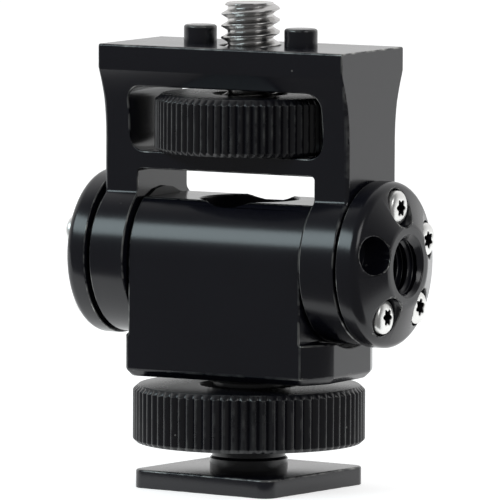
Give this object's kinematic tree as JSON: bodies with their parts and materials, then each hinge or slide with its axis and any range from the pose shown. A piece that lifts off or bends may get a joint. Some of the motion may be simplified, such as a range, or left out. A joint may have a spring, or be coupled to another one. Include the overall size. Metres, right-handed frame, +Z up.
{
  "type": "swivel bracket",
  "caption": "Black tilting and swivelling mount bracket with a square shoe foot and knurled lock wheel below and a captive threaded screw with two locating pins on its fork above.",
  "frame": {"origin": "middle of the shoe foot's underside, on the swivel axis", "axes": "+Z up along the swivel axis, X along the tilt axis, -Y towards the block's bare front face"},
  "size_m": [0.0388, 0.025, 0.0521],
  "materials": {
    "anodised": "satin black anodised",
    "knurled": "black anodised straight knurl",
    "steel": "bright machined",
    "spring_steel": "plain",
    "polymer": "matte",
    "nylon": "matte"
  },
  "bodies": {
    "foot": {"shoe_foot": "anodised", "swivel_screw": "steel", "swivel_spring_washer": "spring_steel", "swivel_washer": "polymer"},
    "lock_slide": {"pressure_washer": "polymer"},
    "lock_wheel": {"lock_wheel": "knurled"},
    "block": {"base_block": "anodised", "thrust_washer_left": "nylon", "thrust_washer_right": "nylon", "friction_pad_left": "polymer", "friction_pad_right": "polymer"},
    "fork": {"yoke": "anodised", "cap_left": "anodised", "cap_right": "anodised", "spring_washer_left": "spring_steel", "spring_washer_right": "spring_steel", "locating_pin_left": "anodised", "locating_pin_right": "anodised", "cap_screw_left_1": "steel", "cap_screw_left_2": "steel", "cap_screw_left_3": "steel", "cap_screw_left_4": "steel", "cap_screw_right_1": "steel", "cap_screw_right_2": "steel", "cap_screw_right_3": "steel", "cap_screw_right_4": "steel"},
    "thumb_slide": {"thumb_washer": "nylon"},
    "thumb_screw": {"thumb_wheel": "knurled", "mount_screw": "steel", "thumb_set_screw": "steel"}
  },
  "joints": [
    {"name": "lock_lift", "type": "slide", "parent": "foot", "child": "lock_slide", "axis": [0, 0, 1], "range_m": [-0.0028, 0.0005]},
    {"name": "lock_turn", "type": "hinge", "parent": "lock_slide", "child": "lock_wheel", "pos_m": [0, 0, 0], "axis": [0, 0, 1], "range_deg": [-800, 140]},
    {"name": "swivel", "type": "hinge", "parent": "foot", "child": "block", "pos_m": [0, 0, 0], "axis": [0, 0, 1], "continuous": true},
    {"name": "tilt", "type": "hinge", "parent": "block", "child": "fork", "pos_m": [0, 0, 0.0247], "axis": [1, 0, 0], "range_deg": [-90, 90]},
    {"name": "thumb_lift", "type": "slide", "parent": "fork", "child": "thumb_slide", "axis": [0, 0, 1], "range_m": [0, 0.0006]},
    {"name": "thumb_turn", "type": "hinge", "parent": "thumb_slide", "child": "thumb_screw", "pos_m": [0, 0, 0], "axis": [0, 0, 1], "continuous": true}
  ],
  "couplings": [
    {"joint": "lock_lift", "follows": "lock_turn", "m_per_rad": 0.00019894}
  ]
}
